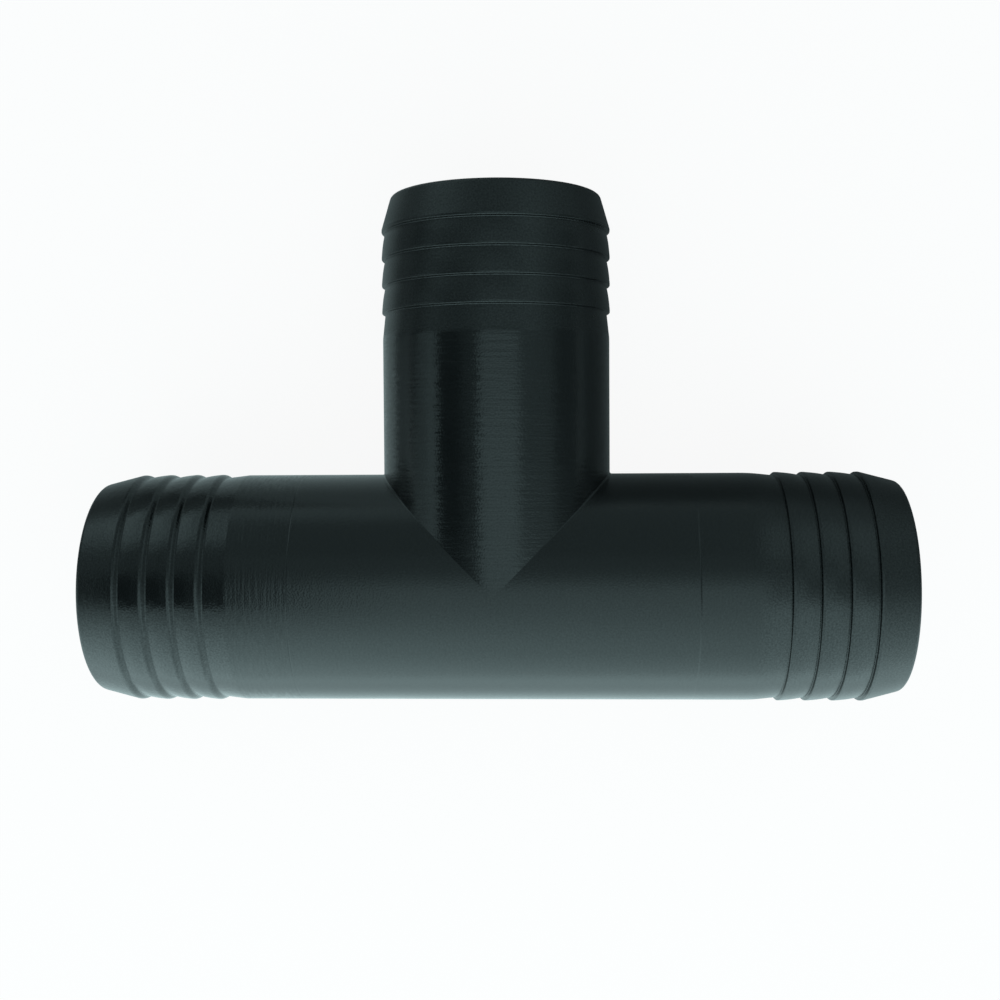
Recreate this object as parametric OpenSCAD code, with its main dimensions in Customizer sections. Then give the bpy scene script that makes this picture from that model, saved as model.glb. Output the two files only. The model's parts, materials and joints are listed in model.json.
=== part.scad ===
// Hose barb tee for three hoses of one size, moulded in one piece.
// It lies in the XY plane: the run goes along X and the branch towards +Y.
// The origin is the point where the axes of the three legs cross.

/* [Tube] */
// Outside diameter of the plain tube, which all three legs share
tube_d = 39; // [38.6:0.1:39.3]

/* [Run] */
// Distance from the crossing to each end of the run
run_reach = 68.2; // [60:0.1:90]
// Length of the lead-in nose at each end of the run, up to its first step
run_nose_l = 6.7; // [3:0.1:9]
// Diameter of the passage through the run
run_bore_d = 32; // [20:0.5:33]

/* [Branch] */
// Distance from the crossing to the end of the branch
branch_reach = 67; // [60:0.1:90]
// Length of the lead-in nose at the end of the branch, up to its first step
branch_nose_l = 6.1; // [3:0.1:9]
// Diameter of the branch's passage, a little less than the run's, so that its core closes on the run's
branch_bore_d = 31; // [20:0.5:33]

/* [Barbs] */
// Number of steps that hold the hose on each leg
barbs = 4; // [2:1:6]
// Distance from one step to the next
barb_pitch = 4.6; // [3:0.05:5.5]
// Diameter over the crests, which stretch the hose
crest_d = 39.2; // [38.8:0.1:40.4]
// Diameter at the foot of each step
root_d = 38.1; // [37.4:0.1:38.4]
// Length of the flat on each crest
land_l = 0.4; // [0.3:0.05:1.2]
// Length that the steep back of each step takes
back_l = 0.5; // [0.2:0.05:1.4]
// Length of the last slope, from the foot of the innermost step up to the plain tube
shoulder_l = 3.9; // [2:0.1:6]

/* [Ends] */
// Diameter that the nose's cone would have at the end face, without its rounding
nose_d = 35.9; // [35.6:0.1:37.6]
// Radius between the nose and the end face
rim_round = 0.9; // [0.2:0.05:1]
// Radius at the mouth of the passage
mouth_round = 0.5; // [0.1:0.05:0.6]

/* [Hidden] */
$fn = 96;
// Segments in each small rounding
arc_steps = 6;
// Length by which a cutter passes the face that it cuts
overshoot = 1;
plastic = [0.13, 0.16, 0.165];
tube_r = tube_d / 2;
crest_r = crest_d / 2;
root_r = root_d / 2;
nose_r = nose_d / 2;

// Distance from a leg's end to its step number i, counted from the end
function step_at(nose_l, i) = nose_l + i * barb_pitch;

// Corner points of one barb: foot of its steep back, then both ends of its land
function barb_points(reach, s) = [
    [root_r, reach - s - back_l],
    [crest_r, reach - s],
    [crest_r, reach - s + land_l]
];

// Rounding that touches the nose's cone and the end face
function rim_points(reach, nose_l) =
    let (
        slope = atan2(crest_r - nose_r, nose_l - land_l),
        centre_r = nose_r + rim_round * (tan(slope) - 1 / cos(slope))
    )
    [for (i = [0 : arc_steps])
        let (turn = slope + i * (90 - slope) / arc_steps)
        [centre_r + rim_round * cos(turn), reach - rim_round + rim_round * sin(turn)]];

// Edge of a leg, from its plain tube out over the barbs and the nose to the axis
function leg_edge(reach, nose_l) = concat(
    [[tube_r, reach - step_at(nose_l, barbs - 1) - back_l - shoulder_l]],
    [for (i = [barbs - 1 : -1 : 0]) each barb_points(reach, step_at(nose_l, i))],
    rim_points(reach, nose_l),
    [[0, reach]]
);

// Edge of a passage at its mouth, which flares, from the bore out past the end face to the axis
function mouth_edge(reach, bore_r) = concat(
    [for (i = [0 : arc_steps])
        let (turn = 90 * i / arc_steps)
        [bore_r + mouth_round * (1 - cos(turn)), reach - mouth_round * (1 - sin(turn))]],
    [[bore_r + mouth_round, reach + overshoot], [0, reach + overshoot]]
);

// Half section that has the same edge at both ends
function two_ended(edge) = concat(
    [for (i = [len(edge) - 1 : -1 : 0]) [edge[i].x, -edge[i].y]],
    edge
);

// Half section from the crossing to one end
function one_ended(edge) = concat([[0, 0], [edge[0].x, 0]], edge);

// Turns a half section into a round shape along the run
module along_run() {
    rotate([0, 90, 0]) rotate_extrude() children();
}

// Turns a half section into a round shape along the branch
module along_branch() {
    rotate([-90, 0, 0]) rotate_extrude() children();
}

module tee_body() {
    color(plastic) difference() {
        union() {
            along_run() polygon(two_ended(leg_edge(run_reach, run_nose_l)));
            along_branch() polygon(one_ended(leg_edge(branch_reach, branch_nose_l)));
        }
        along_run() polygon(two_ended(mouth_edge(run_reach, run_bore_d / 2)));
        along_branch() polygon(one_ended(mouth_edge(branch_reach, branch_bore_d / 2)));
    }
}

tee_body();
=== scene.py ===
# %% [markdown]
# # A hose barb tee in black plastic, photographed on white
# The part is a moulded tee for three hoses: a straight run, a branch square to it, and four barbs on
# every leg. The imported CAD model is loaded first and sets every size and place. All lengths below are
# in millimetres, as on a drawing, and MM turns them into Blender's metres.

# %% Load the CAD frame
import json
import math
import bpy
import numpy as np
from mathutils import Matrix, Vector


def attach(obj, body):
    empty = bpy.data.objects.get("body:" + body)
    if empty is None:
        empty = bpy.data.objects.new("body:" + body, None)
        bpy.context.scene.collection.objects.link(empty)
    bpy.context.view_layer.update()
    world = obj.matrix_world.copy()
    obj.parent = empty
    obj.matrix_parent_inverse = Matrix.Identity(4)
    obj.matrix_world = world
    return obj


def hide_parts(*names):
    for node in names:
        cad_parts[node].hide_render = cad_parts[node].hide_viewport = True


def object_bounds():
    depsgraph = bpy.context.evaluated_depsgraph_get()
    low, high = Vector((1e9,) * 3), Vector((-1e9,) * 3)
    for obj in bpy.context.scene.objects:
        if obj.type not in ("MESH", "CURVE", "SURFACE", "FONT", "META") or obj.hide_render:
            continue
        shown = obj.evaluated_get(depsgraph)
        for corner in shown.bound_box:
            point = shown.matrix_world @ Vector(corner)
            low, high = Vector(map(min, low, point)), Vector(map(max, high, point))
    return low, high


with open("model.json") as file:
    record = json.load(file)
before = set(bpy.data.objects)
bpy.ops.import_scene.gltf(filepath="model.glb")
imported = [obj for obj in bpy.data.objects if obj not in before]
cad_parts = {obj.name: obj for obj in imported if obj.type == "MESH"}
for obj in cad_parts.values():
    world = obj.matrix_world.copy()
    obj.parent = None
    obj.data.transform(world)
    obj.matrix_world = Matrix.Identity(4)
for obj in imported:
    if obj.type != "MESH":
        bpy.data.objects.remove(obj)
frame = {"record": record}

MM = 0.001
cad_low, cad_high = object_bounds()
scene = bpy.context.scene
scene.view_settings.view_transform = "Standard"
print("CAD box in mm:", [round(v / MM, 2) for v in (*cad_low, *cad_high)])

# %% [markdown]
# ## The camera
# The picture was taken from above with a short telephoto view, a little to the right of the branch
# and a little nearer to its end. A camera at the wrong place shows too much or too little of the
# steps, so its place and turn were fitted to the outline of the tee before anything was dressed.

# %% Camera
CAMERA_AT = (10.668, 23.691, 226.998)
CAMERA_TURN = {"Y": 0.04483, "X": -0.03834, "Z": -0.00609}
SENSOR_WIDTH = 36.0
LENS = 47.097
NEAREST_SEEN = 10.0
FARTHEST_SEEN = 20000.0

camera_data = bpy.data.cameras.new("camera")
camera_data.sensor_width = SENSOR_WIDTH
camera_data.lens = LENS
camera_data.clip_start = NEAREST_SEEN * MM
camera_data.clip_end = FARTHEST_SEEN * MM
camera = bpy.data.objects.new("camera", camera_data)
turn = Matrix.Identity(3)
for axis, angle in CAMERA_TURN.items():
    turn = turn @ Matrix.Rotation(angle, 3, axis)
camera.matrix_world = Matrix.Translation(Vector(CAMERA_AT) * MM) @ turn.to_4x4()
scene.collection.objects.link(camera)
scene.camera = camera
print("camera looks along", [round(v, 3) for v in -(turn.col[2])])

# %% [markdown]
# ## Sizes of the tee
# The reach of each leg, the crest radius, the bores and the place of the first step are read from the
# frame, so the dressed surface can't drift from the CAD solid. The barb's own section isn't in the
# record, so it is written here as it stands on the drawing.

# %% Sizes
mounts = {m["name"]: m for m in frame["record"]["mounts"]}


def mount_radius(name):
    return mounts[name]["dims"]["r_mm"]


RUN_REACH = cad_high.x / MM
BRANCH_REACH = cad_high.y / MM
CREST_R = mount_radius("right_hose_crest")
RUN_BORE_R = mount_radius("run_bore")
BRANCH_BORE_R = mount_radius("branch_bore")
TUBE_R = 19.5
ROOT_R = 19.05
NOSE_R = 17.95
BARBS = 4
BARB_PITCH = 4.6
LAND = 0.4
BACK = 0.5
SHOULDER = 3.9


def first_step(mount, reach, along):
    """Distance from a leg's end to its first step, whose land is the mount's pin."""
    centre = abs(mounts[mount]["pos_m"][along]) / MM
    return reach - (centre - LAND / 2)


RUN_NOSE = first_step("right_hose_crest", RUN_REACH, 0)
BRANCH_NOSE = first_step("branch_hose_crest", BRANCH_REACH, 1)
print(f"run reaches {RUN_REACH:.2f} with its first step {RUN_NOSE:.2f} from the end,",
      f"branch {BRANCH_REACH:.2f} with {BRANCH_NOSE:.2f}")

# %% [markdown]
# ## Roundings
# A steel mould is cut with tools and then polished, so no edge on the plastic is razor sharp. The
# eye reads each one as a thin bright or dark line. They could come from a bevel modifier, but it would
# fight with the seam where the legs cross, so they are worked into the section that is turned round
# each axis. A row of the section holds a place along the axis, a radius, and the direction that the
# surface faces there, so that flats stay flat and only the roundings turn the light.

# %% Rounding radii
RIM_ROUND = 0.9
MOUTH_ROUND = 0.5
SEAM_ROUND = 0.06
SEAM_FILLET = 0.35
ARC_ROWS = 5
# The most of an edge between two corners that the rounding of one of them may take
EDGE_SHARE = 0.48
# Angles below this, in radians, count as none
NO_TURN = 1e-6


def rounded(corners):
    """Rows (along, radius, normal along, normal radius) of a line through corners, each of which is
    (along, radius, rounding). The surface lies to the left of the line, seen with radius upwards."""
    points = [np.array(c[:2], float) for c in corners]
    rows = []
    for i, here in enumerate(points):
        arriving = here - points[i - 1] if i else points[1] - here
        leaving = points[i + 1] - here if i + 1 < len(points) else arriving
        a = arriving / np.linalg.norm(arriving)
        b = leaving / np.linalg.norm(leaving)
        normal_a, normal_b = np.array([-a[1], a[0]]), np.array([-b[1], b[0]])
        turning = math.atan2(a[0] * b[1] - a[1] * b[0], a @ b)
        if abs(turning) < NO_TURN:
            rows.append((*here, *normal_b))
            continue
        setback = corners[i][2] * math.tan(abs(turning) / 2)
        room = EDGE_SHARE * min(np.linalg.norm(arriving), np.linalg.norm(leaving))
        radius = corners[i][2] * min(1.0, room / setback)
        side = math.copysign(1.0, turning)
        centre = here - a * radius * math.tan(abs(turning) / 2) + side * radius * normal_a
        for k in range(ARC_ROWS + 1):
            angle = turning * k / ARC_ROWS
            normal = normal_a * math.cos(angle) + np.array([-normal_a[1], normal_a[0]]) * math.sin(angle)
            rows.append((*(centre - side * radius * normal), *normal))
    return np.array(rows)


# %% [markdown]
# The drawing has one barb for all legs, and the polish has changed it a little on each. The left leg's
# steps have soft crests and long backs, which catch a wide band of light. The backs of the right leg
# are the steepest and show as thin dark lines, and those of the branch show as thin light ones. One
# section for all three would be simpler, but then the legs would look alike, which they don't. The
# slopes between the steps are crowned by a tenth of a millimetre, which shades each one from its
# crest to its foot. The fine seam on each side of the run is where two parts of the mould meet.

# %% Section of a leg
# Length of a step's back, roundings of its crest and foot, and of the shoulder behind the barbs
RIGHT = {"back": 0.15, "round": 0.1, "foot": 0.1, "shoulder": 30.0}
LEFT = {"back": 0.7, "round": 1.2, "foot": 0.4, "shoulder": 1.0}
BRANCH = {"back": 0.2, "round": 0.15, "foot": 0.15, "shoulder": 6.0}
CROWN = 0.1
CROWN_ROUND = 25.0
PLAIN_FROM = 26.0
SEAM_AT = 33.2
SEAM_WIDTH = 0.24
SEAM_DEPTH = 0.035


def crest_corners(step, back, radius):
    """Corners of one step at its crest. A wide rounding takes up the land, so it has one corner."""
    if radius < LAND:
        return [(step, CREST_R, radius), (step + LAND, CREST_R, radius)]
    rise = (CREST_R - ROOT_R) / back
    fall = (CREST_R - ROOT_R) / (BARB_PITCH - LAND - back)
    ahead = fall * LAND / (rise + fall)
    return [(step + ahead, CREST_R + rise * ahead, radius)]


def leg_section(reach, nose, bore_r, finish, seam_at=None):
    """Rows of a leg's section: out along the tube and the barbs, down the end face, back in the bore."""
    shoulder_end = reach - nose - (BARBS - 1) * BARB_PITCH - BACK
    corners = [(PLAIN_FROM, TUBE_R, 0.0)]
    if seam_at:
        corners += [(seam_at - SEAM_WIDTH / 2, TUBE_R, SEAM_ROUND),
                    (seam_at, TUBE_R - SEAM_DEPTH, SEAM_ROUND),
                    (seam_at + SEAM_WIDTH / 2, TUBE_R, SEAM_ROUND)]
    corners.append((shoulder_end - SHOULDER, TUBE_R, finish["shoulder"]))
    for barb in reversed(range(BARBS)):
        step = reach - nose - barb * BARB_PITCH
        corners.append((step - finish["back"], ROOT_R, finish["foot"]))
        corners += crest_corners(step, finish["back"], finish["round"])
        if barb:
            foot = step + BARB_PITCH - finish["back"]
            corners.append(((step + LAND + foot) / 2, (CREST_R + ROOT_R) / 2 + CROWN, CROWN_ROUND))
    corners += [(reach, NOSE_R, RIM_ROUND),
                (reach, bore_r, MOUTH_ROUND),
                (PLAIN_FROM, bore_r, 0.0)]
    rows = rounded(corners)
    # A wide rounding would stand a few micrometres proud of the crest that the mounts give.
    rows[:, 1] = np.minimum(rows[:, 1], CREST_R)
    return rows


right_section = leg_section(RUN_REACH, RUN_NOSE, RUN_BORE_R, RIGHT, SEAM_AT)
left_section = leg_section(RUN_REACH, RUN_NOSE, RUN_BORE_R, LEFT, SEAM_AT)
branch_section = leg_section(BRANCH_REACH, BRANCH_NOSE, BRANCH_BORE_R, BRANCH)
print("rows in the sections:", len(right_section), len(left_section), len(branch_section))

# %% [markdown]
# ## The skin as one mesh
# The tee is one moulding, so its skin is one closed mesh. It is put together from grids: the legs are
# turned sections, and where the legs cross, grids end on the curve in which the two tubes meet. For
# two tubes of one radius this curve has a closed form, so the small fillet that the mould leaves there
# is exact as well: a ball rolls in the crease, and its track is the fillet. A boolean with a bevel
# would leave long thin triangles there, which glossy black plastic would show at once.

# %% Grids and columns
COLUMNS = 256
HALF = COLUMNS // 2
CROSSING_ROWS = 5

column_angles = np.radians(-90 + 360 * np.arange(COLUMNS + 1) / COLUMNS)
upper = slice(0, HALF + 1)
lower = slice(HALF, COLUMNS + 1)

# The branch's bore opens the run's wall between these angles, so the run's inner columns crowd there.
opening_half = math.asin(BRANCH_BORE_R / RUN_BORE_R)
inner_angles = np.concatenate([
    np.arcsin(BRANCH_BORE_R * np.sin(column_angles[:HALF]) / RUN_BORE_R),
    np.linspace(opening_half, 2 * math.pi - opening_half, HALF + 1),
])
grids = []


def grid(points, normals, along, around):
    """Keeps a grid of points with the way the skin faces at each, and its unrolled place in mm."""
    flat = np.stack(np.broadcast_arrays(around, along), axis=-1)
    grids.append((np.array(points, float), np.array(normals, float), np.array(flat, float)))


def on_run(along, radius, angle):
    along, radius, angle = np.broadcast_arrays(along, radius, angle)
    return np.stack([along, radius * np.cos(angle), radius * np.sin(angle)], axis=-1)


def on_branch(along, radius, angle):
    along, radius, angle = np.broadcast_arrays(along, radius, angle)
    return np.stack([radius * np.cos(angle), along, radius * np.sin(angle)], axis=-1)


print(COLUMNS, "columns round each leg, one every", round(2 * math.pi * TUBE_R / COLUMNS, 2), "mm")

# %% Turn the three legs
BRANCH_SHEET = 200.0
NICKS = (
    {"at": 33.1, "angle": 14.2, "length": 1.3, "depth": 0.22},
    {"at": -33.0, "angle": 10.6, "length": 0.7, "depth": 0.15},
)
NICK_WIDTH = 0.2
WALL_MIDDLE = (RUN_BORE_R + TUBE_R) / 2
# Rows of a section that belong to the bore: the rounding of its mouth and its inner end
BORE_ROWS = ARC_ROWS + 2


def nick_depth(along, radius, angle):
    """How far the skin is pressed in where the mould's insert left a small nick on its seam."""
    total = 0.0
    for nick in NICKS:
        across = (along - nick["at"]) / NICK_WIDTH
        beside = radius * (angle - math.radians(nick["angle"])) / (nick["length"] / 2)
        total = total + nick["depth"] * np.exp(-across ** 2 - beside ** 2)
    return np.where(radius > WALL_MIDDLE, total, 0.0)


def turned(section, place, inner, side=1, sheet=0.0):
    """A leg made by turning its section. Rows past the end face use the bore's own columns."""
    along, radius, n_along, n_radius = (section[:, k, None] for k in range(4))
    past_rim = np.arange(len(section))[:, None] >= len(section) - BORE_ROWS
    angle = np.where(past_rim, inner[None], column_angles[None])
    pressed = nick_depth(side * along, radius, angle) if place is on_run else 0.0
    points = place(side * along, radius - pressed, angle)
    normals = place(side * n_along, n_radius, angle)
    grid(points, normals, sheet + side * along, TUBE_R * column_angles[None])


turned(right_section, on_run, inner_angles, side=1)
turned(left_section, on_run, inner_angles, side=-1)
turned(branch_section, on_branch, column_angles, sheet=BRANCH_SHEET)
print(sum(g[0].shape[0] for g in grids), "rows in the three legs")

# %% Skin round the crossing
ball = TUBE_R + SEAM_FILLET
share = np.linspace(0, 1, CROSSING_ROWS)[:, None]


def between(foot, share):
    """Places from the foot of the crease to the ring where the turned leg starts."""
    return foot * (1 - share) + PLAIN_FROM * share


def wall(place, foot, radius, angle, column, facing, side=1, sheet=0.0):
    """One stretch of tube wall from the crease or the middle to the turned leg."""
    along = between(foot, share)
    points = place(side * along, radius, angle)
    normals = place(0.0, facing, np.broadcast_to(angle, along.shape))
    grid(points, normals, sheet + side * along, TUBE_R * column)


a_up, a_low = column_angles[None, upper], column_angles[None, lower]
i_up, i_low = inner_angles[None, upper], inner_angles[None, lower]
for side in (1, -1):
    wall(on_run, ball * np.cos(a_up), TUBE_R, a_up, a_up, 1, side)
    wall(on_run, 0 * a_low, TUBE_R, a_low, a_low, 1, side)
    wall(on_run, BRANCH_BORE_R * np.cos(a_up), RUN_BORE_R, i_up, a_up, -1, side)
    wall(on_run, 0 * i_low, RUN_BORE_R, i_low, a_low, -1, side)
whole = column_angles[None]
wall(on_branch, ball * np.abs(np.cos(whole)), TUBE_R, whole, whole, 1, sheet=BRANCH_SHEET)
bore_foot = np.sqrt(RUN_BORE_R ** 2 - (BRANCH_BORE_R * np.sin(whole)) ** 2)
wall(on_branch, bore_foot, BRANCH_BORE_R, whole, whole, -1, sheet=BRANCH_SHEET)
print(len(grids), "grids so far")

# %% Fillet in the crease
for side in (1, -1):
    c, s = np.cos(a_up[0]), np.sin(a_up[0])
    zero = np.zeros_like(c)
    centre = np.stack([side * ball * c, ball * c, ball * s], axis=-1)
    to_run = np.stack([zero, -c, -s], axis=-1)
    to_branch = np.stack([-side * c, zero, -s], axis=-1)
    opening = np.arccos(np.clip((to_run * to_branch).sum(-1), -1, 1))[:, None]
    safe = np.where(opening < NO_TURN, 1.0, np.sin(opening))
    rows, facing = [], []
    for t in np.linspace(0, 1, ARC_ROWS + 1):
        way = (np.sin((1 - t) * opening) * to_run + np.sin(t * opening) * to_branch) / safe
        way = np.where(opening < NO_TURN, to_run, way)
        rows.append(centre + SEAM_FILLET * way)
        facing.append(-way)
    points = np.array(rows)
    grid(points, facing, BRANCH_SHEET + points[..., 1], TUBE_R * a_up)
print("fillet of", SEAM_FILLET, "mm along the crease")

# %% Weld the grids into one mesh
# Points that agree to this, in mm, are one point
WELD = 1e-4


def faces_of(shape, first):
    """Corner numbers of the quads of a grid whose first point has the number first."""
    number = first + np.arange(shape[0] * shape[1]).reshape(shape)
    quads = [number[:-1, :-1], number[:-1, 1:], number[1:, 1:], number[1:, :-1]]
    return np.stack(quads, axis=-1).reshape(-1, 4)


def welded(grids):
    """Points, faces and, for each face corner, the way it faces and its place on the unrolled skin."""
    quads, first = [], 0
    for points, normals, _ in grids:
        faces = faces_of(points.shape[:2], first)
        corner = points.reshape(-1, 3)[faces - first]
        flat = np.cross(corner[:, 2] - corner[:, 0], corner[:, 3] - corner[:, 1])
        inward = (flat * normals.reshape(-1, 3)[faces[:, 0] - first]).sum() < 0
        quads.append(faces[:, ::-1] if inward else faces)
        first += len(points.reshape(-1, 3))
    points, normals, flats = (
        np.concatenate([g[k].reshape(-1, g[k].shape[-1]) for g in grids]) for k in range(3))
    kept, index = np.unique(np.round(points / WELD).astype(np.int64), axis=0, return_inverse=True)
    index = index.ravel()
    place = np.zeros((len(kept), 3))
    place[index] = points
    faces, corners = [], []
    for quad in np.concatenate(quads):
        own = [k for n, k in enumerate(quad) if index[k] != index[quad[n - 1]]]
        if len(own) > 2:
            faces.append([int(index[k]) for k in own])
            corners.extend(own)
    return place, faces, normals[corners], flats[corners]


points, faces, corner_normals, corner_flats = welded(grids)
mesh = bpy.data.meshes.new("tee_skin")
mesh.from_pydata((points * MM).tolist(), [], faces)
mesh.update()
lengths = np.linalg.norm(corner_normals, axis=1, keepdims=True)
mesh.normals_split_custom_set((corner_normals / lengths).tolist())
unrolled = mesh.uv_layers.new(name="unrolled_mm")
unrolled.uv.foreach_set("vector", corner_flats.astype(np.float32).ravel())
tee = bpy.data.objects.new("tee_skin", mesh)
scene.collection.objects.link(tee)
triangles = sum(len(f) - 2 for f in faces)
print(len(points), "points,", len(faces), "faces,", triangles, "triangles")

# %% Check that the skin is closed
edges = {}
for face in faces:
    for k, start in enumerate(face):
        pair = tuple(sorted((start, face[k - 1])))
        edges[pair] = edges.get(pair, 0) + 1
odd = sum(1 for count in edges.values() if count != 2)
print("edges that aren't shared by two faces:", odd)

# %% [markdown]
# ## Two helpers for nodes
# Colours are picked in sRGB, as a screen shows them, and the shader wants linear light, so one
# function turns hex codes into linear values. A second one adds a node with its settings and links.

# %% Colour and node helpers
def linear(code):
    """A hex colour such as #2b3236 as linear red, green, blue and alpha."""
    parts = [int(code[k:k + 2], 16) / 255 for k in (1, 3, 5)]
    return (*[p / 12.92 if p <= 0.04045 else ((p + 0.055) / 1.055) ** 2.4 for p in parts], 1.0)


def add(tree, kind, links=None, **settings):
    """Adds a node. A setting is a property of the node or the value of an input, and a link is the
    output socket that feeds an input. Inputs go by name, or by number where names repeat."""
    node = tree.nodes.new("ShaderNode" + kind)
    for name, value in settings.items():
        if hasattr(node, name):
            setattr(node, name, value)
        else:
            node.inputs[name.replace("_", " ")].default_value = value
    for name, source in (links or {}).items():
        tree.links.new(source, node.inputs[name])
    return node


def calculate(tree, operation, *values):
    """A Math node whose inputs are numbers or sockets."""
    node = add(tree, "Math", operation=operation)
    for k, value in enumerate(values):
        if isinstance(value, (int, float)):
            node.inputs[k].default_value = value
        else:
            tree.links.new(value, node.inputs[k])
    return node.outputs[0]


def new_material(name):
    """A material with an empty node tree."""
    material = bpy.data.materials.new(name)
    material.use_nodes = True
    material.node_tree.nodes.clear()
    return material, material.node_tree


print("mid grey #808080 is", round(linear("#808080")[0], 3), "in linear light")

# %% [markdown]
# ## The plastic
# Black polypropylene, moulded in a turned and polished steel cavity. The body is close to black, so
# nearly all that shows is reflected light, and the polish is satin, so the edges of reflections are
# soft. The cavity was turned on a lathe: fine rings run round the legs and fray the edges of each
# reflection, most on the branch and on the left leg behind its barbs. A fine grain lies over all, and
# the left leg's barbs are mottled, as where the polish was worn.
# All this could be modelled, but it is finish, not form, so it is noise on the unrolled skin, long
# around the leg and short along it for the rings. The noise gives a height for a bump. Rings are
# also a little out of round, which swings the normal to and fro around the leg. Real marks of this
# kind are a few micrometres deep and a tenth of a millimetre apart. They are drawn coarser and deeper
# here, at three to five times that spacing, because a pixel of the picture covers 0.16 mm.

# %% Sizes of the marks, in mm
RING_LENGTH = 8.0
RING_SPACING = 0.5
RING_HEIGHT = 0.03
GRAIN_SIZE = 0.32
GRAIN_HEIGHT = 0.022
MOTTLE_SIZE = 1.1
MOTTLE_HEIGHT = 0.03
WAVE_SIZE = 9.0
WAVE_HEIGHT = 0.02
WOBBLE_LENGTH = 1.8
WOBBLE_SPACING = 0.33
PATCH_LENGTH = 14.0
PATCH_WIDTH = 6.0
NOISE_MEAN = 0.5
NOISE_LOW, NOISE_HIGH = 0.3, 0.7


def stretched_noise(tree, place, around, along, detail, seed):
    """Noise from 0 to 1 whose lumps measure around by along, in mm, on the unrolled skin."""
    scaled = add(tree, "VectorMath", {0: place}, operation="MULTIPLY")
    scaled.inputs[1].default_value = (1 / around, 1 / along, 1)
    moved = add(tree, "VectorMath", {0: scaled.outputs[0]}, operation="ADD")
    moved.inputs[1].default_value = (seed, 2 * seed, 3 * seed)
    return add(tree, "TexNoise", {"Vector": moved.outputs[0]}, Scale=1.0, Detail=detail).outputs[0]


print("rings", RING_SPACING, "mm apart, grain of", GRAIN_SIZE, "mm")

# %% [markdown]
# The finish isn't the same all along a leg. Each zone below is a factor from 0 to 1, worked out from
# the place along the leg, in mm from the crossing. It could be painted as a mask, but a few numbers
# are easier to change. The zones are the barbs, the nose, the insert at the foot of the branch, and
# the stretch of the left leg where the turning marks were left unpolished.

# %% Zones of the finish
BARBED_FROM = 43.0
NOSE_FROM = 61.5
INSERT_END = 21.6
LEFT_FROM = 1.0
TURNED_FROM = 32.75
TURNED_TO = 43.5
ZONE_EDGE = 0.5
INSERT_EDGE = 0.1
SEAM_EDGE = 0.75
# Shares of the turning marks: what the barbs lost to the polish, and the least that is left anywhere
MARKS_POLISHED = 0.75
MARKS_LEFT = 0.2


def passing(tree, value, place, soft):
    """0 before a place and 1 past it, with an edge as soft as given to both sides. With a negative
    softness it is 1 before the place and 0 past it."""
    return add(tree, "MapRange", {"Value": value}, From_Min=place - soft, From_Max=place + soft).outputs[0]


def finish_zones(tree, place):
    """Factors for the zones of the finish. The branch has its own sheet of the unrolled skin."""
    sheet = add(tree, "SeparateXYZ", {0: place}).outputs["Y"]
    branch = passing(tree, sheet, BRANCH_SHEET / 2, INSERT_EDGE)
    along = calculate(tree, "MULTIPLY_ADD", branch, -BRANCH_SHEET, sheet)
    out = calculate(tree, "ABSOLUTE", along)
    barbs = passing(tree, out, BARBED_FROM, ZONE_EDGE)
    turned_left = calculate(tree, "MULTIPLY", passing(tree, along, -TURNED_TO, ZONE_EDGE),
                            passing(tree, along, -TURNED_FROM, -SEAM_EDGE))
    marks = calculate(tree, "MAXIMUM", branch, turned_left)
    marks = calculate(tree, "MULTIPLY_ADD", barbs, -MARKS_POLISHED, marks)
    return {
        "branch": branch,
        "left": passing(tree, along, -LEFT_FROM, -ZONE_EDGE),
        "barbs": barbs,
        "nose": passing(tree, out, NOSE_FROM, ZONE_EDGE),
        "insert": calculate(tree, "MULTIPLY", branch, passing(tree, out, INSERT_END, -INSERT_EDGE)),
        "marks": calculate(tree, "MAXIMUM", marks, MARKS_LEFT),
    }


print("barbs from", BARBED_FROM, "mm, nose from", NOSE_FROM, "mm")

# %% Rings, grain and wobble
WOBBLE = 0.16


def wobbled(tree, place, zones):
    """The skin's normal, swung to and fro around the leg by rings that are a little out of round."""
    along_run = calculate(tree, "SUBTRACT", 1.0, zones["branch"])
    axis = add(tree, "CombineXYZ", {"X": along_run, "Y": zones["branch"]}).outputs[0]
    normal = add(tree, "NewGeometry").outputs["Normal"]
    around = add(tree, "VectorMath", {0: axis, 1: normal}, operation="CROSS_PRODUCT").outputs[0]
    swing = stretched_noise(tree, place, WOBBLE_LENGTH, WOBBLE_SPACING, detail=2.0, seed=6.4)
    swing = calculate(tree, "SUBTRACT", swing, NOISE_MEAN)
    swing = calculate(tree, "MULTIPLY", swing, calculate(tree, "MULTIPLY", zones["marks"], WOBBLE))
    shift = add(tree, "VectorMath", {0: around, "Scale": swing}, operation="SCALE").outputs[0]
    swung = add(tree, "VectorMath", {0: normal, 1: shift}, operation="ADD").outputs[0]
    return add(tree, "VectorMath", {0: swung}, operation="NORMALIZE").outputs[0]


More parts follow.
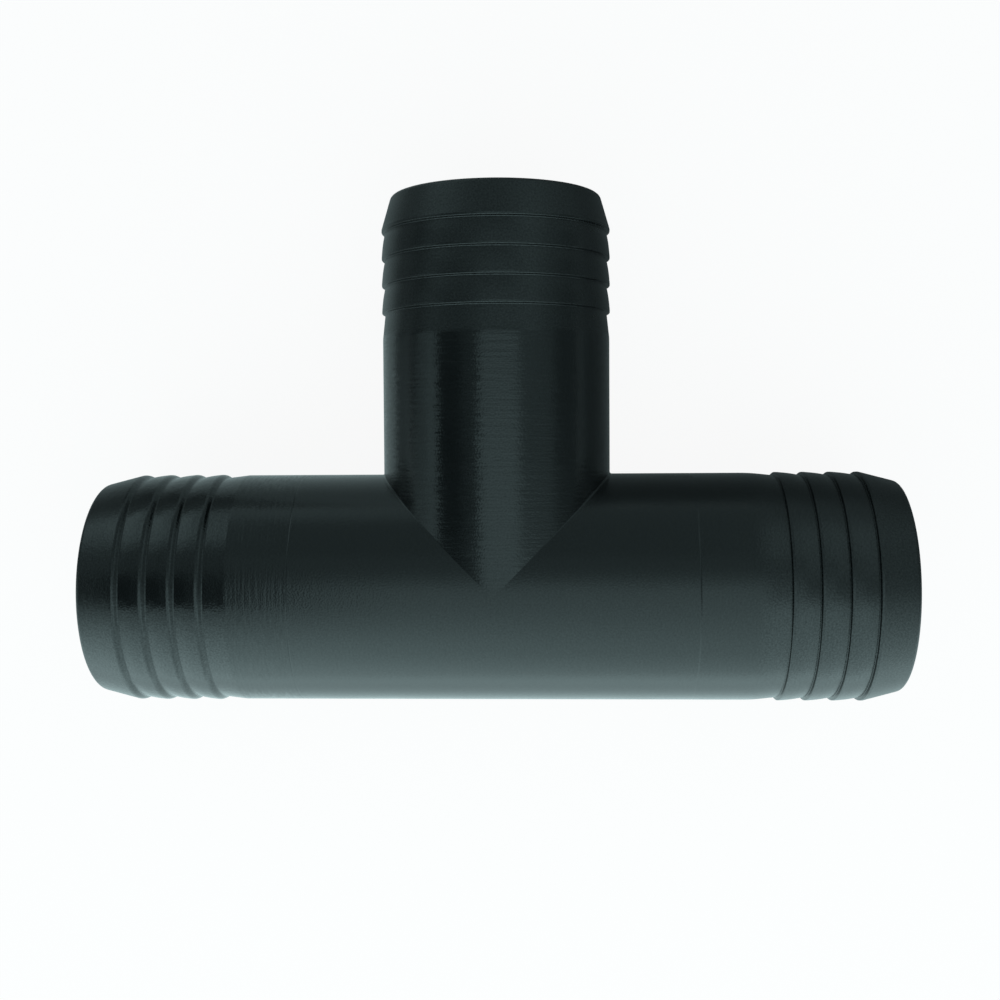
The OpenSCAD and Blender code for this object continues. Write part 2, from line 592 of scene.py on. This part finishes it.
def marked_normal(tree, place, zones, grain):
    """The normal with rings, grain, shallow waves, and the mottle of the left leg's barbs."""
    rings = stretched_noise(tree, place, RING_LENGTH, RING_SPACING, detail=2.0, seed=3.1)
    waves = stretched_noise(tree, place, WAVE_SIZE, WAVE_SIZE, detail=1.0, seed=8.3)
    mottle = stretched_noise(tree, place, MOTTLE_SIZE, MOTTLE_SIZE, detail=2.0, seed=4.6)
    mottled = calculate(tree, "MULTIPLY", zones["barbs"], zones["left"])
    height = calculate(tree, "MULTIPLY", rings, calculate(tree, "MULTIPLY", zones["marks"], RING_HEIGHT))
    height = calculate(tree, "MULTIPLY_ADD", grain, GRAIN_HEIGHT, height)
    height = calculate(tree, "MULTIPLY_ADD", waves, WAVE_HEIGHT, height)
    height = calculate(tree, "MULTIPLY_ADD", mottle,
                       calculate(tree, "MULTIPLY", mottled, MOTTLE_HEIGHT), height)
    normal = wobbled(tree, place, zones)
    bump = add(tree, "Bump", {"Height": height, "Normal": normal}, Strength=1.0, Distance=MM)
    return bump.outputs[0]


print("rings swing the normal by up to", round(math.degrees(WOBBLE / 2), 1), "degrees")

# %% Roughness and reflectivity
SMOOTHEST, ROUGHEST = 0.12, 0.18
ROUGHER = {"barbs": 0.08, "barbs on branch": 0.07, "insert": 0.03, "nose": 0.1}
# Pores let the specular level vary round its usual value, more on the barbs
USUAL_SPECULAR = 0.5
PORES = 0.26
MORE_PORES = 0.24


def satin_roughness(tree, place, zones):
    """Roughness in patches, with more on the barbs of the right leg and the branch, on every nose, and
    a little in the insert."""
    patches = stretched_noise(tree, place, PATCH_LENGTH, PATCH_WIDTH, detail=2.0, seed=1.9)
    rough = add(tree, "MapRange", {"Value": patches}, From_Min=NOISE_LOW, From_Max=NOISE_HIGH,
                To_Min=SMOOTHEST, To_Max=ROUGHEST).outputs[0]
    more = calculate(tree, "MULTIPLY_ADD", zones["branch"], ROUGHER["barbs on branch"], ROUGHER["barbs"])
    more = calculate(tree, "MULTIPLY_ADD", zones["left"], -ROUGHER["barbs"], more)
    rough = calculate(tree, "ADD", rough, calculate(tree, "MULTIPLY", zones["barbs"], more))
    rough = calculate(tree, "MULTIPLY_ADD", zones["insert"], ROUGHER["insert"], rough)
    return calculate(tree, "MULTIPLY_ADD", zones["nose"], ROUGHER["nose"], rough)


def porous_level(tree, zones, grain):
    """The specular level, which the grain's pores lower and the skin between them keeps up."""
    pores = calculate(tree, "MULTIPLY_ADD", zones["barbs"], MORE_PORES, PORES)
    grain = calculate(tree, "SUBTRACT", grain, NOISE_MEAN)
    return calculate(tree, "MULTIPLY_ADD", grain, pores, USUAL_SPECULAR)


print("roughness from", SMOOTHEST, "to", ROUGHEST, "on the plain tubes")


# %% Put the plastic together
def black_plastic():
    """Black polypropylene, whose index of refraction is close to 1.5."""
    material, tree = new_material("black_polypropylene")
    place = add(tree, "UVMap", uv_map="unrolled_mm").outputs[0]
    zones = finish_zones(tree, place)
    grain = stretched_noise(tree, place, GRAIN_SIZE, GRAIN_SIZE, detail=1.0, seed=5.7)
    links = {
        "Normal": marked_normal(tree, place, zones, grain),
        "Roughness": satin_roughness(tree, place, zones),
        "Specular IOR Level": porous_level(tree, zones, grain),
    }
    shader = add(tree, "BsdfPrincipled", links,
                 Base_Color=linear("#07090a"), IOR=1.5, Specular_Tint=linear("#f6ffff"))
    add(tree, "OutputMaterial", {"Surface": shader.outputs[0]})
    return material


mesh.materials.append(black_plastic())
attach(tee, "root")
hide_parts("tee_body")
print("plastic on", tee.name)

# %% [markdown]
# ## The studio
# The tee lies on white with hardly a shadow, yet its flanks reflect a dim room, one long window in
# front and a flat light overhead. A black part shows little else than such reflections, so the room is
# built as a big tent of light round the table. The camera can't see the tent, only the plastic can.
# It could be a set of area lamps, but soft-edged panels on one tent are easier to place by angle.
# The paper is white to the camera, as a blown-out background is, and lets a little shadow through.

# %% Floor
FLOOR_HALF = 2900.0
WHITE = linear("#ffffff")
SHADOW_SHARE = 0.08


def seen_directly(tree):
    """1 for rays from the camera, a mirror or glass, which should see plain white."""
    rays = add(tree, "LightPath").outputs
    seen = calculate(tree, "MAXIMUM", rays["Is Camera Ray"], rays["Is Glossy Ray"])
    return calculate(tree, "MAXIMUM", seen, rays["Is Transmission Ray"])


def level_square(name, half, level):
    """A level square that reaches half its side from the middle, at a height. Both are in metres."""
    corners = [(-half, -half, level), (half, -half, level), (half, half, level), (-half, half, level)]
    square = bpy.data.meshes.new(name)
    square.from_pydata(corners, [], [(0, 1, 2, 3)])
    placed = bpy.data.objects.new(name, square)
    scene.collection.objects.link(placed)
    return placed


floor = level_square("floor", FLOOR_HALF * MM, cad_low.z)
paper, tree = new_material("white_paper")
matt = add(tree, "BsdfDiffuse", Color=WHITE)
glow = add(tree, "Emission", Color=WHITE, Strength=1.0)
share_of_glow = calculate(tree, "MULTIPLY", seen_directly(tree), 1 - SHADOW_SHARE)
both = add(tree, "MixShader", {0: share_of_glow, 1: matt.outputs[0], 2: glow.outputs[0]})
add(tree, "OutputMaterial", {"Surface": both.outputs[0]})
floor.data.materials.append(paper)
print("floor at", round(cad_low.z / MM, 2), "mm")

# %% Backdrop
BACKDROP_LIGHT = 0.5

world = bpy.data.worlds.new("backdrop")
world.use_nodes = True
world.node_tree.nodes.clear()
scene.world = world
tree = world.node_tree
strength = calculate(tree, "MULTIPLY_ADD", seen_directly(tree), 1 - BACKDROP_LIGHT, BACKDROP_LIGHT)
backdrop = add(tree, "Background", {"Strength": strength}, Color=WHITE)
add(tree, "OutputWorld", {"Surface": backdrop.outputs[0]})
print("backdrop is white to the camera and", BACKDROP_LIGHT, "as a light")

# %% Panels of the tent
# The light is a little cool, which gives the black plastic its teal cast
COOL = linear("#e0fdff")
TENT_RADIUS = 800.0
ROOM = 0.36
# Each panel covers what lies before it in the list. Tilt is the angle from straight up towards the
# end of the branch, and lean is the angle towards the right end of the run. Each edge has a place and
# a softness, in degrees. An edge at 200 degrees is out of reach, so the panel has none there.
PANELS = (
    {"name": "dim right side", "light": 0.18, "lean": (61, 6, 200, 1), "tilt": (-90, 30, 200, 1)},
    {"name": "pale left side", "light": 0.42, "lean": (-200, 1, -60, 12), "tilt": (-60, 30, 60, 30)},
    {"name": "dark corner behind", "light": 0.12, "lean": (-200, 1, -54, 5), "tilt": (50, 14, 200, 1)},
    {"name": "right card", "light": 0.68, "lean": (18, 8, 42, 10), "tilt": (14, 6, 72, 12)},
    {"name": "rear left card", "light": 0.9, "lean": (-51, 5, -25, 10), "tilt": (52, 12, 96, 8)},
    {"name": "rear strip", "light": 0.6, "lean": (-30, 8, -6, 6), "tilt": (75, 8, 100, 6)},
    {"name": "dim strip behind the rim", "light": 0.43, "lean": (-20, 8, 30, 6), "tilt": (10, 2, 34, 5)},
    {"name": "rim of the overhead light", "light": 0.52, "lean": (-15, 5, 26, 6), "tilt": (-60, 1, 20, 2)},
    {"name": "overhead light", "light": 0.97, "lean": (-14, 4, 24, 4), "tilt": (-60, 1, 8, 10)},
    {"name": "window, right part", "light": 1.6, "lean": (20, 8, 38, 8), "tilt": (-215, 60, -13, 8)},
    {"name": "front window", "light": 2.05, "lean": (-65, 30, 63, 25), "tilt": (-215, 60, -36, 56)},
    {"name": "window, left part", "light": 2.5, "lean": (-60, 15, -5, 15), "tilt": (-215, 60, -52, 36)},
    {"name": "left card", "light": 0.75, "lean": (-69, 8, -57, 2), "tilt": (-30, 15, 25, 12)},
    {"name": "gap by the overhead light", "light": 0.24, "lean": (-57, 2, -16, 3), "tilt": (-16, 4, 22, 8)},
    {"name": "dim card behind the flag", "light": 0.31, "lean": (-44, 5, -28, 4), "tilt": (10, 6, 42, 8)},
    {"name": "black flag", "light": 0.09, "lean": (-57, 2, -31, 7), "tilt": (-17, 2, 18, 10)},
)
print("panels from", min(p["light"] for p in PANELS), "to", max(p["light"] for p in PANELS))


# %% Tent of light
def edge(tree, value, place, soft, falling):
    """Rises from 0 to 1, or falls from 1 to 0, as an angle or a length passes an edge."""
    ends = {"To_Min": 1.0, "To_Max": 0.0} if falling else {"To_Min": 0.0, "To_Max": 1.0}
    return add(tree, "MapRange", {"Value": value}, interpolation_type="SMOOTHSTEP",
               From_Min=place - soft, From_Max=place + soft, **ends).outputs[0]


def glowing(material, light):
    """Makes a material shine with a given strength. The plastic's own rays find a thing this big, so
    it isn't sampled as a lamp, which halves the time of a render."""
    tree = material.node_tree
    glow = add(tree, "Emission", {"Strength": light}, Color=COOL)
    add(tree, "OutputMaterial", {"Surface": glow.outputs[0]})
    material.cycles.emission_sampling = "NONE"


def tent_material():
    """Each panel's light, by the way that a point of the tent lies from the middle."""
    material, tree = new_material("tent_light")
    spot = add(tree, "TexCoord").outputs["Object"]
    way = add(tree, "VectorMath", {0: spot}, operation="NORMALIZE").outputs[0]
    axes = add(tree, "SeparateXYZ", {0: way}).outputs
    lean = calculate(tree, "DEGREES", calculate(tree, "ARCSINE", axes["X"]))
    tilt = calculate(tree, "DEGREES", calculate(tree, "ARCTAN2", axes["Y"], axes["Z"]))
    light = ROOM
    for panel in PANELS:
        mask = 1.0
        for angle, key in ((lean, "lean"), (tilt, "tilt")):
            low, low_soft, high, high_soft = panel[key]
            mask = calculate(tree, "MULTIPLY", mask, edge(tree, angle, low, low_soft, False))
            mask = calculate(tree, "MULTIPLY", mask, edge(tree, angle, high, high_soft, True))
        more = calculate(tree, "SUBTRACT", panel["light"], light)
        light = calculate(tree, "MULTIPLY_ADD", more, mask, light)
    glowing(material, light)
    return material


bpy.ops.mesh.primitive_uv_sphere_add(segments=64, ring_count=32, radius=TENT_RADIUS * MM)
tent = bpy.context.object
tent.name = "tent"
tent.visible_camera = False
tent.data.materials.append(tent_material())
print("tent with", len(PANELS), "panels")

# %% [markdown]
# The flanks of the tee don't mirror the white paper. A glowing card just above the paper holds a
# painted reflection for them: a table lit bright in front of the tee, with painted shade behind it.
# Only the plastic's reflections see the card, which lights nothing and casts no shadow. The bright
# part begins under the run. Behind it three soft patches add a little painted light to the shaded one.

# %% Light of the card, a painted reflection of a lit and shaded table
CARD_LIFT = 0.3
CARD_HALF = 700.0
# Painted light of the reflection: the part in painted shade behind the tee, and the lit part in front
SHADED_REFLECTION_LIGHT = 0.11
LIT_REFLECTION_LIGHT = 1.2
# Each edge is what is measured, in mm, the edge's place, its softness, and whether the light falls there.
SHADED_REFLECTION_PATCHES = (
    {"name": "left part", "more": 0.14, "edges": (("X", -30, 30, True), ("Y", 55, 25, True))},
    {"name": "left of the branch", "more": 0.24, "edges": (("X", -10, 20, True), ("X", -72, 14, False))},
    {"name": "far part", "more": 0.16, "edges": (("distance", 180, 120, False),)},
)
NEAREST_PART = {"more": 1.1, "edges": (("Y", -90, 60, True),)}
BRIGHT_FROM = ("Y", -17, 27, True)


def with_patch(tree, measured, patch, light):
    """The light with a patch's own added, inside the patch's soft edges."""
    mask = 1.0
    for what, place, soft, falling in patch["edges"]:
        mask = calculate(tree, "MULTIPLY", mask, edge(tree, measured[what], place, soft, falling))
    return calculate(tree, "MULTIPLY_ADD", mask, patch["more"], light)


def painted_reflection_material():
    """The card's light, by the place on it in mm: a painted reflection, bright in front of the tee and in
    painted shade behind it.
    """
    material, tree = new_material("painted_reflection_card")
    spot = add(tree, "TexCoord").outputs["Object"]
    place = add(tree, "VectorMath", {0: spot}, operation="SCALE", Scale=1 / MM).outputs[0]
    axes = add(tree, "SeparateXYZ", {0: place}).outputs
    distance = add(tree, "VectorMath", {0: place}, operation="LENGTH").outputs["Value"]
    measured = {"X": axes["X"], "Y": axes["Y"], "distance": distance}
    dim = SHADED_REFLECTION_LIGHT
    for patch in SHADED_REFLECTION_PATCHES:
        dim = with_patch(tree, measured, patch, dim)
    bright = with_patch(tree, measured, NEAREST_PART, LIT_REFLECTION_LIGHT)
    what, place_of_edge, soft, falling = BRIGHT_FROM
    share = edge(tree, measured[what], place_of_edge, soft, falling)
    more = calculate(tree, "SUBTRACT", bright, dim)
    glowing(material, calculate(tree, "MULTIPLY_ADD", more, share, dim))
    return material


print("table from", SHADED_REFLECTION_LIGHT, "to", LIT_REFLECTION_LIGHT + NEAREST_PART["more"])

# %% Card of the painted reflection
card = level_square("painted_reflection_card", CARD_HALF * MM, cad_low.z + CARD_LIFT * MM)
card.data.materials.append(painted_reflection_material())
# Only glossy rays see the card, so all it gives the plastic is a painted reflection
for rays in ("camera", "diffuse", "transmission", "volume_scatter", "shadow"):
    setattr(card, "visible_" + rays, False)
print("table card", CARD_LIFT, "mm above the paper")
